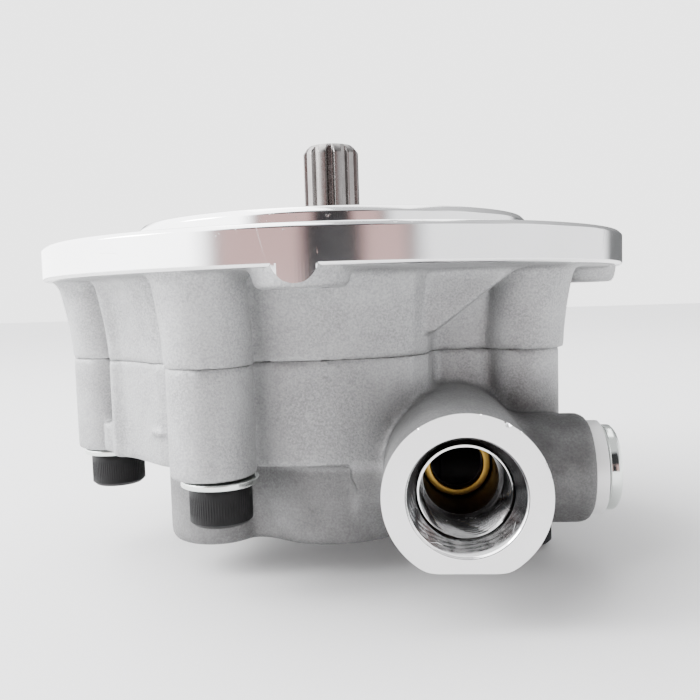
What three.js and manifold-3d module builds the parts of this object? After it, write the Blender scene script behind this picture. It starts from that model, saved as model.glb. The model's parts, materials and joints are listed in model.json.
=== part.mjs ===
// A hydraulic gear pump with a round pilot flange and a splined shaft.
// Millimetres, +Z up along the drive shaft. The origin is on the shaft's axis in the plane of the
// flange's mounting face. The outlet port faces -Y and the valve plug faces +X.
import * as THREE from "three";
import { mergeVertices } from "three/addons/utils/BufferGeometryUtils.js";
import Module from "manifold-3d";

const wasm = await Module();
wasm.setup();

// ---- driving dimensions ----
const GAP = 0.3; // between pieces that touch

const FLANGE = { radius: 92, thickness: 9.8, chamfer: 1 };
const PILOT = { radius: 63.5, height: 6.7, chamfer: 1.5 };
const PAD = { orbit: 81, radius: 12, depth: 4.7, hole: 7.2 };

const PARTING_Z = -33; // lower face of the front housing
const PLATE_Z = -61.3; // lower face of the rear housing's plate
const CAP_Z = -84; // lower face of the bearing cap and the gallery lobe

const GEAR = { teeth: 12, addendum: 0.95, dedendum: 1.15, pressure: 25, backlash: 0.35 };
const GEAR_TOP = -37.3;
const GEAR_BOTTOM = -59.3;
const IDLER = new THREE.Vector2(2, -34); // the driven gear's axis
const MESH_ANGLE = Math.atan2(IDLER.y, IDLER.x);
const POCKET_RADIUS = 20.1;
const POCKET_FLOOR = -64;

const SHAFT_RADIUS = 9;
const SHAFT_END = -80.5; // lower end of both shafts
const SPLINE = { teeth: 11, major: 9.2, minor: 7.9, bottom: 8, top: 33.2, chamfer: 2.6 };
const KEY = { width: 4, inner: 7.3, outer: 11, length: 14 };
const BUSHING = { inner: 9.3, outer: 11.5, front: [-32, -13], rear: [-81, -65] };
const SEAL_BORE = { radius: 17, floor: -8 };
const RING_GROOVE = { bottom: 0.7, top: 2.9, depth: 1.4 }; // for the seal's retaining ring
const HOUSING_SEAL = { inner: 22.7, outer: 25.3, depth: 1.9 };
const DOWEL = { radius: 3, bottom: -39.5, top: -26.5, places: [[-52, -36], [46, 24]] };

// The triangular rib under the flange, as an outline in X and Z, and the Y it spans.
const GUSSET = { outline: [[27, -9], [27, -27], [31.5, -27.5], [56, -9]], front: -50, back: -33 };

// What stands below the rear plate: round bosses, and blocks that span [x, x, y, y] between them.
const DRIVE_BOSS = 23;
const DRIVEN_BOSS = 25;
const LOBE = { x: -31.2, y: -45, radius: 13.6 };
const CAP_BLOCKS = [[-30, 0, -52, -10], [-40, -20, -46, -10]];
const ROOT_WEB = { x: 8.7, front: -60, back: -40, bottom: -65.6 };

// Body screws: x, y, the seat's height and the shank's length.
const SCREWS = {
  a: { x: -24.3, y: -69.5, seat: PLATE_Z, shank: 44 },
  b: { x: -68.4, y: -25.7, seat: PLATE_Z, shank: 44 },
  d: { x: 58, y: -29, seat: -80, shank: 62 },
  e: { x: -52, y: 40, seat: PLATE_Z, shank: 44 },
  f: { x: 40, y: 52, seat: PLATE_Z, shank: 44 },
};
const SCREW = { radius: 5, hole: 5.5, head: 8, height: 9.8, socket: 4.6, socketDepth: 5 };
const WASHER = { inner: 5.4, outer: 10, thickness: 1.6 };

const OUTLET = { x: 36.5, z: -61.9, face: -92, neck: 19, flat: -78.8, mouth: 13.7, bore: 10.7 };
const INLET = { x: -14, z: -61, face: 80, neck: 23, mouth: 17.95, bore: 15.65 };
const PASSAGE = { y: -17, z: -52, pressure: 6, suction: 7 }; // cored passages on both gear sides
const SUCTION_X = -29; // the passage that leads from the inlet to the gears
const ORIFICE = { outer: 9, inner: 6.7, front: -57, back: -53.8 };
const VALVE = { y: -45, z: -66, boss: 15, bossEnd: 73.2, rim: 12.9, rimEnd: 76.3, bore: 8 };
const VALVE_BORE = { start: 24, end: 63 };
const PLUG = { head: 11.7, thickness: 3.6, thread: 9.4, inner: 64, socket: 5.4, socketDepth: 5 };
const SPOOL = { start: 24.4, length: 25.6, nose: 4.4, cup: 5.6 };

// ---- solids ----
function solidOf(geometry) {
  const bare = geometry.clone();
  bare.deleteAttribute("normal");
  bare.deleteAttribute("uv");
  const merged = mergeVertices(bare, 1e-4);
  const corners = [];
  const index = merged.index.array;
  for (let i = 0; i < index.length; i += 3) {
    const [a, b, c] = index.slice(i, i + 3);
    if (a !== b && b !== c && a !== c) corners.push(a, b, c);
  }
  const vertProperties = merged.attributes.position.array;
  const build = (list) =>
    new wasm.Manifold(new wasm.Mesh({ numProp: 3, vertProperties, triVerts: new Uint32Array(list) }));
  const solid = build(corners);
  return solid.volume() < 0 ? build(corners.reverse()) : solid;
}

function geometryOf(solid) {
  const mesh = solid.getMesh();
  const geometry = new THREE.BufferGeometry();
  geometry.setAttribute("position", new THREE.BufferAttribute(mesh.vertProperties, 3));
  geometry.setIndex(new THREE.BufferAttribute(mesh.triVerts, 1));
  const flat = geometry.toNonIndexed();
  flat.computeVertexNormals();
  return flat;
}

function join(...solids) {
  return solids.reduce((whole, solid) => whole.add(solid));
}

function cut(solid, ...tools) {
  return tools.reduce((left, tool) => left.subtract(tool), solid);
}

// A cylinder or cone about +Z through (x, y), from z0 up to z1.
function post(x, y, z0, z1, radius, sides = 24, topRadius = radius) {
  const geometry = new THREE.CylinderGeometry(topRadius, radius, z1 - z0, sides);
  geometry.rotateX(Math.PI / 2);
  return solidOf(geometry.translate(x, y, (z0 + z1) / 2));
}

// A cylinder or cone along +Y at (x, z), from y0 to y1.
function alongY(x, z, y0, y1, radius, sides = 24, farRadius = radius) {
  const geometry = new THREE.CylinderGeometry(farRadius, radius, y1 - y0, sides);
  return solidOf(geometry.translate(x, (y0 + y1) / 2, z));
}

// A cylinder or cone along +X at (y, z), from x0 to x1.
function alongX(y, z, x0, x1, radius, sides = 24, farRadius = radius) {
  const geometry = new THREE.CylinderGeometry(farRadius, radius, x1 - x0, sides);
  geometry.rotateZ(-Math.PI / 2);
  return solidOf(geometry.translate((x0 + x1) / 2, y, z));
}

function block(x0, x1, y0, y1, z0, z1) {
  const geometry = new THREE.BoxGeometry(x1 - x0, y1 - y0, z1 - z0);
  return solidOf(geometry.translate((x0 + x1) / 2, (y0 + y1) / 2, (z0 + z1) / 2));
}

function prism(shape, z0, z1, curveSegments = 3) {
  const settings = { depth: z1 - z0, bevelEnabled: false, curveSegments };
  return solidOf(new THREE.ExtrudeGeometry(shape, settings).translate(0, 0, z0));
}

// A profile of [radius, height] pairs turned about +Z.
function turned(profile, sides = 24) {
  const points = profile.map(([radius, height]) => new THREE.Vector2(radius, height));
  return solidOf(new THREE.LatheGeometry(points, sides).rotateX(Math.PI / 2));
}

function ringOf(inner, outer, z0, z1, sides = 24) {
  return turned([[inner, z0], [outer, z0], [outer, z1], [inner, z1], [inner, z0]], sides);
}

// A hexagonal prism about +Z, whose radius reaches its corners.
function hexPost(z0, z1, radius) {
  return post(0, 0, z0, z1, radius, 6);
}

// ---- the body's outline ----
function arcPoints(cx, cy, radius, from, to, count) {
  const points = [];
  for (let i = 0; i <= count; i++) {
    const angle = THREE.MathUtils.degToRad(from + ((to - from) * i) / count);
    points.push([cx + radius * Math.cos(angle), cy + radius * Math.sin(angle), 0]);
  }
  return points;
}

// Corner points with a fillet radius each, in order, as a closed shape.
function filletedShape(corners) {
  const shape = new THREE.Shape();
  corners.forEach(([x, y, fillet], i) => {
    const here = new THREE.Vector2(x, y);
    if (!fillet) {
      if (i === 0) shape.moveTo(x, y);
      else shape.lineTo(x, y);
      return;
    }
    const neighbour = (step) => {
      const [nx, ny] = corners[(i + step + corners.length) % corners.length];
      return new THREE.Vector2(nx, ny).sub(here).normalize().multiplyScalar(fillet).add(here);
    };
    const start = neighbour(-1);
    const end = neighbour(1);
    if (i === 0) shape.moveTo(start.x, start.y);
    else shape.lineTo(start.x, start.y);
    shape.quadraticCurveTo(x, y, end.x, end.y);
  });
  shape.closePath();
  return shape;
}

const BODY_OUTLINE = filletedShape([
  [-57, -47.5, 2],
  [-40, -62.5, 4],
  ...arcPoints(-5, -8, 54.8, -110, -56, 6),
  [30.5, -46, 2],
  [31, -35, 4],
  [49, -33, 3],
  [54, -22, 2],
  [61, -8, 0],
  ...arcPoints(0, 0, 61, 0, 180, 16),
  [-61, -8, 0],
  [-62, -37, 2],
  [-62.5, -46, 2],
]);

// Columns round the body screws: centre, radius in the rear housing and in the front one.
const COLUMNS = {
  a: { x: -26, y: -69, rear: 11, front: 11.3 },
  b: { x: -68.4, y: -25.7, rear: 11.5, front: 11.6 },
  d: { x: 58, y: -29, rear: 10.5, front: 12 },
  e: { x: -52, y: 40, rear: 11, front: 11.3 },
  f: { x: 40, y: 52, rear: 11, front: 11.3 },
};

// The front housing widens towards the flange.
function flare(z) {
  const rise = Math.max(0, (z - PARTING_Z) / (-FLANGE.thickness - PARTING_Z));
  return 1 + 0.045 * Math.pow(rise, 1.6);
}

function flared(geometry) {
  const position = geometry.attributes.position;
  for (let i = 0; i < position.count; i++) {
    const scale = flare(position.getZ(i));
    position.setXY(i, position.getX(i) * scale, position.getY(i) * scale);
  }
  return solidOf(geometry);
}

function frontBody() {
  const top = -FLANGE.thickness + 1;
  const depth = top - PARTING_Z;
  const settings = { depth, bevelEnabled: false, curveSegments: 3, steps: 2 };
  const core = flared(new THREE.ExtrudeGeometry(BODY_OUTLINE, settings).translate(0, 0, PARTING_Z));
  const columns = Object.values(COLUMNS).map(({ x, y, front }) => {
    const column = new THREE.CylinderGeometry(front, front, depth, 18, 2);
    return flared(column.rotateX(Math.PI / 2).translate(x, y, (top + PARTING_Z) / 2));
  });
  return join(core, ...columns);
}

// A figure of eight round both gear axes.
function figureEight(radius, z0, z1) {
  return join(post(0, 0, z0, z1, radius, 28), post(IDLER.x, IDLER.y, z0, z1, radius, 28));
}

// The band of the seal between the housings, round both pockets.
function sealBand(inner, outer, z0, z1) {
  const loop = (radius) => {
    const shape = new THREE.Shape();
    const side = MESH_ANGLE + Math.PI / 2;
    shape.absarc(0, 0, radius, side, side + Math.PI, false);
    shape.absarc(IDLER.x, IDLER.y, radius, side + Math.PI, side + 2 * Math.PI, false);
    shape.closePath();
    return prism(shape, z0, z1, 9);
  };
  return loop(outer).subtract(loop(inner));
}

// ---- the two housings ----
function frontHousing() {
  const flange = turned(
    [
      [0, -FLANGE.thickness],
      [FLANGE.radius, -FLANGE.thickness],
      [FLANGE.radius, -FLANGE.chamfer],
      [FLANGE.radius - FLANGE.chamfer, 0],
      [PILOT.radius, 0],
      [PILOT.radius, PILOT.height - PILOT.chamfer],
      [PILOT.radius - PILOT.chamfer, PILOT.height],
      [0, PILOT.height],
    ],
    72,
  );
  const padBottom = -FLANGE.thickness - PAD.depth;
  const padPlaces = [[0, -PAD.orbit], [PAD.orbit, 0], [0, PAD.orbit], [-PAD.orbit, 0]];
  const pads = join(...padPlaces.map(([x, y]) => post(x, y, padBottom, -5, PAD.radius, 20)));
  const padHoles = padPlaces.map(([x, y]) => post(x, y, padBottom - 1, 1, PAD.hole, 16));
  const trimmedPads = pads.intersect(post(0, 0, padBottom - 1, 0, FLANGE.radius, 72));
  const gusset = new THREE.Shape(GUSSET.outline.map(([x, z]) => new THREE.Vector2(x, z)));
  const gussetWidth = GUSSET.back - GUSSET.front;
  const rib = new THREE.ExtrudeGeometry(gusset, { depth: gussetWidth, bevelEnabled: false });
  rib.rotateX(Math.PI / 2).translate(0, GUSSET.back, 0);
  const outside = join(flange, trimmedPads, frontBody(), solidOf(rib));
  const groove = SEAL_BORE.radius + RING_GROOVE.depth;
  const bores = [
    post(0, 0, SEAL_BORE.floor, PILOT.height + 1, SEAL_BORE.radius, 32),
    post(0, 0, RING_GROOVE.bottom, RING_GROOVE.top, groove, 32),
    post(0, 0, PARTING_Z - 1, SEAL_BORE.floor + 1, SHAFT_RADIUS + GAP),
    post(0, 0, PARTING_Z - 1, BUSHING.front[1] + GAP, BUSHING.outer + GAP),
    post(IDLER.x, IDLER.y, PARTING_Z - 1, BUSHING.front[1] + GAP, BUSHING.outer + GAP),
  ];
  const threads = Object.values(SCREWS).map(({ x, y }) =>
    post(x, y, PARTING_Z - 1, -15, SCREW.hole, 12),
  );
  const dowels = DOWEL.places.map(([x, y]) => post(x, y, PARTING_Z - 1, -26, DOWEL.radius + GAP, 12));
  return cut(outside, ...bores, ...padHoles, ...threads, ...dowels);
}

function rearOutside() {
  const top = PARTING_Z - GAP;
  const plate = prism(BODY_OUTLINE, PLATE_Z, top);
  const columns = Object.values(COLUMNS).map(({ x, y, rear }) => post(x, y, PLATE_Z, top, rear, 18));
  const into = PLATE_Z + 1; // how far what stands below the plate reaches into it
  const screwBoss = post(COLUMNS.d.x, COLUMNS.d.y, SCREWS.d.seat, into, COLUMNS.d.rear, 18);
  const caps = [
    post(IDLER.x, IDLER.y, CAP_Z, into, DRIVEN_BOSS, 36),
    post(LOBE.x, LOBE.y, CAP_Z, into, LOBE.radius, 20),
    post(0, 0, CAP_Z, into, DRIVE_BOSS, 28),
    ...CAP_BLOCKS.map(([x0, x1, y0, y1]) => block(x0, x1, y0, y1, CAP_Z, into)),
  ];
  const { x, z, face, neck, flat } = OUTLET;
  const outletNeck = alongY(x, z, face, -8, neck, 40).subtract(
    block(x - 2 * neck, x + 2 * neck, face - 1, 0, flat - neck, flat),
  );
  const rootWeb = block(ROOT_WEB.x, x, ROOT_WEB.front, ROOT_WEB.back, ROOT_WEB.bottom, into);
  const taper = VALVE.bossEnd - 2.5;
  const boss = [
    alongX(VALVE.y, VALVE.z, 10, taper, VALVE.boss, 28),
    alongX(VALVE.y, VALVE.z, taper, VALVE.bossEnd, VALVE.boss, 28, VALVE.boss - 2),
    alongX(VALVE.y, VALVE.z, VALVE.bossEnd - 1, VALVE.rimEnd, VALVE.rim, 28),
  ];
  const inletNeck = alongY(INLET.x, INLET.z, 10, INLET.face, INLET.neck, 32);
  return join(plate, ...columns, screwBoss, ...caps, outletNeck, rootWeb, ...boss, inletNeck);
}

function rearHousing() {
  const { x, z, face, mouth, bore } = OUTLET;
  const outlet = [
    alongY(x, z, face - 0.01, face + 3.9, mouth, 36, bore),
    alongY(x, z, face + 3, -72, bore, 36),
    alongY(x, z, -73, ORIFICE.back + GAP, ORIFICE.outer + GAP, 28),
    alongY(x, z, -55, VALVE.y, ORIFICE.inner),
    alongY(x, -58, VALVE.y, PASSAGE.y, PASSAGE.pressure, 12),
    alongX(PASSAGE.y, PASSAGE.z, 8, x + 4, PASSAGE.pressure, 12),
  ];
  const inlet = [
    alongY(INLET.x, INLET.z, INLET.face - 3.2, INLET.face + 0.01, INLET.bore, 28, INLET.mouth),
    alongY(INLET.x, INLET.z, 30, INLET.face - 3, INLET.bore, 28),
    alongY(SUCTION_X, PASSAGE.z, PASSAGE.y, 31, PASSAGE.suction, 12),
    alongX(PASSAGE.y, PASSAGE.z, SUCTION_X - 5, -8, PASSAGE.suction, 12),
  ];
  const valve = [
    alongX(VALVE.y, VALVE.z, VALVE_BORE.start, VALVE_BORE.end, VALVE.bore),
    alongX(VALVE.y, VALVE.z, VALVE_BORE.end - 1, VALVE.rimEnd + 1, PLUG.thread + GAP),
    alongX(VALVE.y, VALVE.z, VALVE.bossEnd, VALVE.rimEnd + 1, PLUG.thread + 1.9),
  ];
  const bushings = [
    post(0, 0, BUSHING.rear[0] - GAP, POCKET_FLOOR + 1, BUSHING.outer + GAP),
    post(IDLER.x, IDLER.y, BUSHING.rear[0] - GAP, POCKET_FLOOR + 1, BUSHING.outer + GAP),
  ];
  const screws = Object.values(SCREWS).map((s) => post(s.x, s.y, s.seat - 1, 0, SCREW.hole, 12));
  const wrenchRoom = Object.values(SCREWS).map((s) =>
    post(s.x, s.y, -100, s.seat, WASHER.outer + 0.8, 20),
  );
  const dowels = DOWEL.places.map(([dx, dy]) => post(dx, dy, -40, 0, DOWEL.radius + GAP, 12));
  return cut(
    rearOutside(),
    figureEight(POCKET_RADIUS, POCKET_FLOOR, 0),
    sealBand(HOUSING_SEAL.inner, HOUSING_SEAL.outer, PARTING_Z - HOUSING_SEAL.depth - GAP, 0),
    ...outlet,
    ...inlet,
    ...valve,
    ...bushings,
    ...screws,
    ...wrenchRoom,
    ...dowels,
  );
}

// ---- the rotating group ----
function involutePoint(base, radius) {
  const roll = Math.sqrt(Math.max(0, (radius / base) ** 2 - 1));
  return roll - Math.atan(roll);
}

// The gear's outline, with one tooth centred on +X.
function gearShape() {
  const pitch = IDLER.length() / 2;
  const module = (2 * pitch) / GEAR.teeth;
  const outer = pitch + GEAR.addendum * module;
  const root = pitch - GEAR.dedendum * module;
  const base = pitch * Math.cos(THREE.MathUtils.degToRad(GEAR.pressure));
  const halfTooth = Math.PI / (2 * GEAR.teeth) - GEAR.backlash / (4 * pitch);
  const atPitch = involutePoint(base, pitch);
  const flank = [[root, halfTooth + atPitch + 0.02]];
  for (let i = 0; i <= 4; i++) {
    const radius = base + ((outer - base) * i) / 4;
    flank.push([radius, halfTooth + atPitch - involutePoint(base, radius)]);
  }
  const points = [];
  for (let tooth = 0; tooth < GEAR.teeth; tooth++) {
    const centre = (tooth * 2 * Math.PI) / GEAR.teeth;
    const polar = (radius, angle) =>
      points.push(new THREE.Vector2(radius * Math.cos(angle), radius * Math.sin(angle)));
    flank.forEach(([radius, angle]) => polar(radius, centre - angle));
    [...flank].reverse().forEach(([radius, angle]) => polar(radius, centre + angle));
  }
  return new THREE.Shape(points);
}

function keyBlock(clearance) {
  const half = KEY.length / 2 + clearance;
  const width = KEY.width / 2 + clearance;
  return block(KEY.inner - clearance, KEY.outer + clearance, -width, width, -half, half);
}

// About its own axis, with its middle at z = 0.
function gear() {
  const half = (GEAR_TOP - GEAR_BOTTOM) / 2;
  return cut(
    prism(gearShape(), -half, half),
    post(0, 0, -half - 1, half + 1, SHAFT_RADIUS + GAP),
    block(KEY.inner, KEY.outer + GAP, -KEY.width / 2 - GAP, KEY.width / 2 + GAP, -half - 1, half + 1),
  );
}

const GEAR_MIDDLE = (GEAR_TOP + GEAR_BOTTOM) / 2;

function splineShape() {
  const points = [];
  for (let tooth = 0; tooth < SPLINE.teeth; tooth++) {
    const centre = ((tooth + 0.5) * 2 * Math.PI) / SPLINE.teeth;
    const corners = [
      [SPLINE.minor, -0.2],
      [SPLINE.major, -0.115],
      [SPLINE.major, 0.115],
      [SPLINE.minor, 0.2],
    ];
    for (const [radius, turn] of corners) {
      const angle = centre + turn;
      points.push(new THREE.Vector2(radius * Math.cos(angle), radius * Math.sin(angle)));
    }
  }
  return new THREE.Shape(points);
}

function driveShaft() {
  const { bottom, top, major, chamfer } = SPLINE;
  const envelope = turned([
    [0, bottom - 1],
    [major + 1, bottom - 1],
    [major + 1, top - chamfer - 1],
    [major - chamfer * 0.6, top],
    [0, top],
  ]);
  const spline = prism(splineShape(), bottom - 1, top).intersect(envelope);
  return join(spline, journal(bottom, 1.2)).subtract(keyway());
}

function drivenShaft() {
  return journal(BUSHING.front[1] - GAP, 1).subtract(keyway());
}

// The plain round length of a shaft, with a small chamfer at its lower end and one at its top.
function journal(top, chamfer) {
  return turned([
    [0, SHAFT_END],
    [SHAFT_RADIUS - 1, SHAFT_END],
    [SHAFT_RADIUS, SHAFT_END + 1],
    [SHAFT_RADIUS, top - 1],
    [SHAFT_RADIUS - chamfer, top],
    [0, top],
  ]);
}

function keyway() {
  return keyBlock(GAP).translate([0, 0, GEAR_MIDDLE]);
}

// ---- small pieces ----
function socketScrew(shank) {
  const { radius, head, height, socket, socketDepth } = SCREW;
  const profile = [
    [0, -height],
    [head - 1, -height],
    [head, -height + 1],
    [head, -0.6],
    [head - 0.4, 0],
    [radius, 0],
    [radius, shank - 1],
    [radius - 1, shank],
    [0, shank],
  ];
  return turned(profile, 16).subtract(hexPost(-height - 1, -height + socketDepth, socket));
}

// A coil of wire about +Z that fills the height, with one dead turn at each end.
function coil(radius, wire, height, turns) {
  const steps = turns * 10;
  const points = [];
  for (let i = 0; i <= steps; i++) {
    const share = i / steps;
    const dead = 1 / turns;
    const lift = THREE.MathUtils.clamp((share - dead / 2) / (1 - dead), 0, 1);
    const angle = share * turns * 2 * Math.PI;
    const z = wire + lift * (height - 4.6 * wire) + share * 2.6 * wire;
    points.push(new THREE.Vector3(radius * Math.cos(angle), radius * Math.sin(angle), z));
  }
  const section = new THREE.Shape();
  section.absarc(0, 0, wire, 0, 2 * Math.PI);
  const path = new THREE.CatmullRomCurve3(points);
  const settings = { steps, extrudePath: path, curveSegments: 3, bevelEnabled: false };
  return solidOf(new THREE.ExtrudeGeometry(section, settings));
}

// The spool is hollow at both ends: the relief valve sits in its nose and the spring in its cup.
function spool() {
  const radius = VALVE.bore - GAP;
  const { length, nose, cup } = SPOOL;
  const [noseFloor, cupFloor] = [16, 19];
  const [grooveStart, grooveEnd, grooveDepth] = [5.5, 8, 1.6];
  return turned([
    [0, noseFloor],
    [nose, noseFloor],
    [nose, 0],
    [radius - 0.8, 0],
    [radius, 0.8],
    [radius, grooveStart],
    [radius - grooveDepth, grooveStart],
    [radius - grooveDepth, grooveEnd],
    [radius, grooveEnd],
    [radius, length - 0.6],
    [radius - 0.6, length],
    [cup, length],
    [cup, cupFloor],
    [0, cupFloor],
  ]);
}

function valvePlug() {
  const neckEnd = VALVE.rimEnd + GAP - PLUG.inner;
  const body = turned(
    [
      [0, 0],
      [PLUG.thread - 1, 0],
      [PLUG.thread, 1],
      [PLUG.thread, neckEnd - 3.2],
      [PLUG.thread - 1, neckEnd - 3.2],
      [PLUG.thread - 1, neckEnd],
      [PLUG.head, neckEnd],
      [PLUG.head, neckEnd + PLUG.thickness - 0.7],
      [PLUG.head - 0.7, neckEnd + PLUG.thickness],
      [0, neckEnd + PLUG.thickness],
    ],
    28,
  );
  const end = neckEnd + PLUG.thickness;
  return body.subtract(hexPost(end - PLUG.socketDepth, end + 1, PLUG.socket));
}

function lipSeal() {
  return turned(
    [
      [SEAL_BORE.radius - GAP, 0],
      [SEAL_BORE.radius - GAP, 7],
      [SHAFT_RADIUS + 1.4, 7],
      [SHAFT_RADIUS + GAP, 6.2],
      [SHAFT_RADIUS + GAP, 5.4],
      [SHAFT_RADIUS + 1.6, 4.4],
      [SHAFT_RADIUS + 2.6, 5.2],
      [SEAL_BORE.radius - 2, 5.2],
      [SEAL_BORE.radius - 2, 0],
      [SEAL_BORE.radius - GAP, 0],
    ],
    28,
  );
}

function retainingRing() {
  const ring = ringOf(14.6, SEAL_BORE.radius + 1, 0, 1.5, 32);
  return ring.subtract(block(-3.5, 3.5, 0, 30, -1, 3));
}

function wearPlate(z0, z1) {
  return cut(
    figureEight(POCKET_RADIUS - GAP, z0, z1),
    post(0, 0, z0 - 1, z1 + 1, SHAFT_RADIUS + GAP + 0.1),
    post(IDLER.x, IDLER.y, z0 - 1, z1 + 1, SHAFT_RADIUS + GAP + 0.1),
  );
}

function plateSeal(z0, z1) {
  const hole = figureEight(17.4, z0 - 1, z1 + 1);
  return figureEight(POCKET_RADIUS - GAP, z0, z1).subtract(hole);
}

// ---- materials ----
const finish = (color, roughness, metalness) =>
  new THREE.MeshStandardMaterial({ color, roughness, metalness });
const castAluminium = () => finish(0xb9bab9, 0.6, 0.85);
const steel = () => finish(0x8d8c8a, 0.35, 1);
const darkSteel = () => finish(0x5d5c5a, 0.4, 1);
const blackOxide = () => finish(0x1d1e20, 0.5, 0.7);
const zincPlate = () => finish(0xc9cfca, 0.2, 1);
const brass = () => finish(0xb58a35, 0.35, 1);
const rubber = () => finish(0x17181a, 0.8, 0);

// ---- the assembly ----
const pump = new THREE.Group();
const rotor = new THREE.Group();
const idler = new THREE.Group();
const valve = new THREE.Group();
pump.add(rotor, idler, valve);

function place(name, solid, material, parent = pump, x = 0, y = 0, z = 0) {
  const mesh = new THREE.Mesh(geometryOf(solid), material);
  mesh.name = name;
  mesh.position.set(x, y, z);
  parent.add(mesh);
  return mesh;
}

place("front_housing", frontHousing(), castAluminium());
place("rear_housing", rearHousing(), castAluminium());

// The drive gear shows a tooth to the driven gear, which answers with a gap.
rotor.rotation.z = MESH_ANGLE;
place("drive_shaft", driveShaft(), steel(), rotor);
place("drive_gear", gear(), darkSteel(), rotor, 0, 0, GEAR_MIDDLE);
place("drive_key", keyBlock(0), darkSteel(), rotor, 0, 0, GEAR_MIDDLE);
idler.position.set(IDLER.x, IDLER.y, 0);
idler.rotation.z = MESH_ANGLE + Math.PI + Math.PI / GEAR.teeth;
place("driven_shaft", drivenShaft(), steel(), idler);
place("driven_gear", gear(), darkSteel(), idler, 0, 0, GEAR_MIDDLE);
place("driven_key", keyBlock(0), darkSteel(), idler, 0, 0, GEAR_MIDDLE);

for (const [end, [z0, z1]] of [["front", BUSHING.front], ["rear", BUSHING.rear]]) {
  const bush = ringOf(BUSHING.inner, BUSHING.outer, z0, z1);
  place(`${end}_drive_bushing`, bush, brass());
  place(`${end}_driven_bushing`, bush, brass(), pump, IDLER.x, IDLER.y);
}
place("front_plate_seal", plateSeal(-34.2, PARTING_Z - GAP), rubber());
place("front_wear_plate", wearPlate(-37, -34.5), brass());
place("rear_wear_plate", wearPlate(-62.5, -59.6), brass());
place("rear_plate_seal", plateSeal(POCKET_FLOOR + GAP, -62.8), rubber());
const seal = sealBand(
  HOUSING_SEAL.inner + GAP,
  HOUSING_SEAL.outer - GAP,
  PARTING_Z - HOUSING_SEAL.depth,
  PARTING_Z - GAP,
);
place("housing_seal", seal, rubber());
place("shaft_seal", lipSeal(), rubber(), pump, 0, 0, SEAL_BORE.floor + GAP);
place("seal_retaining_ring", retainingRing(), steel(), pump, 0, 0, 1.05);
DOWEL.places.forEach(([x, y], i) => {
  const pin = post(0, 0, DOWEL.bottom, DOWEL.top, DOWEL.radius, 12);
  place(`dowel_pin_${i + 1}`, pin, steel(), pump, x, y);
});

for (const [letter, { x, y, seat, shank }] of Object.entries(SCREWS)) {
  const under = seat - GAP - WASHER.thickness;
  const washer = ringOf(WASHER.inner, WASHER.outer, 0, WASHER.thickness, 16);
  place(`body_washer_${letter}`, washer, zincPlate(), pump, x, y, under);
  place(`body_screw_${letter}`, socketScrew(shank), blackOxide(), pump, x, y, under - GAP);
}

const orifice = ringOf(ORIFICE.inner, ORIFICE.outer, 0, ORIFICE.back - ORIFICE.front, 28);
const orificeMesh = place("orifice_ring", orifice, brass(), pump, OUTLET.x, ORIFICE.front, OUTLET.z);
orificeMesh.rotation.x = -Math.PI / 2;

// The valve's pieces lie along +X from the blind end of its bore.
valve.position.set(0, VALVE.y, VALVE.z);
valve.rotation.y = Math.PI / 2;
place("valve_spool", spool(), blackOxide(), valve, 0, 0, SPOOL.start);
place("relief_seat", ringOf(1.5, 4.1, 0, 3.4, 16), brass(), valve, 0, 0, 24.7);
const ball = solidOf(new THREE.SphereGeometry(2.3, 12, 8));
place("relief_ball", ball, steel(), valve, 0, 0, 30.2);
place("relief_guide", post(0, 0, 0, 2.2, 3.7, 16), steel(), valve, 0, 0, 32.8);
place("relief_spring", coil(2.8, 0.45, 4.8, 3), steel(), valve, 0, 0, 35.3);
place("valve_spring", coil(4.4, 0.65, 19.9, 6), steel(), valve, 0, 0, 43.8);
const plugSeal = solidOf(new THREE.TorusGeometry(PLUG.thread + 0.65, 0.95, 8, 24));
place("plug_seal", plugSeal, rubber(), valve, 0, 0, 74.8);
place("valve_plug", valvePlug(), zincPlate(), valve, 0, 0, PLUG.inner);

export default pump;
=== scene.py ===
import json
import math

import bmesh
import bpy
import numpy as np
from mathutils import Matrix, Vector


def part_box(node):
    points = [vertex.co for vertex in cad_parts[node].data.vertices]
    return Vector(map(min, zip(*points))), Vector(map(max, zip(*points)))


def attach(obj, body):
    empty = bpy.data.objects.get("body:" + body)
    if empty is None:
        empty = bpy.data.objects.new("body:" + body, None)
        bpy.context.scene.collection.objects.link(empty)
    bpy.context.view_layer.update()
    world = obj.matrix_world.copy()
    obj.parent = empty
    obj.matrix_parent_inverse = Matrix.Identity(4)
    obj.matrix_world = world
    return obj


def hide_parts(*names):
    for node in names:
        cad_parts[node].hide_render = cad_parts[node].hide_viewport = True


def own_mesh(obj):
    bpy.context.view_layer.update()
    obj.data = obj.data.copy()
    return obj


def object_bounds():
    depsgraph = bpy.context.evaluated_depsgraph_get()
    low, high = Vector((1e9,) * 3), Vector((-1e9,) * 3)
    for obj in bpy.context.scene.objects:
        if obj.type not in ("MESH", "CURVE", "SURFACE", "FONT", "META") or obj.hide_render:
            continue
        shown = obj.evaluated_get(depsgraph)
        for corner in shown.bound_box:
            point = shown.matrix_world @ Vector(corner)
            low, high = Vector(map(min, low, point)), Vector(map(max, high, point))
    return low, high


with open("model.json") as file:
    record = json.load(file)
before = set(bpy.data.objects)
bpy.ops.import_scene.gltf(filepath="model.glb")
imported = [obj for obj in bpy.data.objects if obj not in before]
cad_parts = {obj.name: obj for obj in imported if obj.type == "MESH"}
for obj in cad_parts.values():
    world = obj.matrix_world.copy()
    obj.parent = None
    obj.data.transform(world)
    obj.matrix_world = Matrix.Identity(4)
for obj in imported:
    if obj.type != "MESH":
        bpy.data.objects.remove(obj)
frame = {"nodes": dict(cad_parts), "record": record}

import openvdb
from mathutils import Matrix, Vector

cad_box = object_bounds()

MM = 0.001
STEP = 0.94  # grid step of the cast shapes, in mm
TAU = 2 * math.pi


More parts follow.
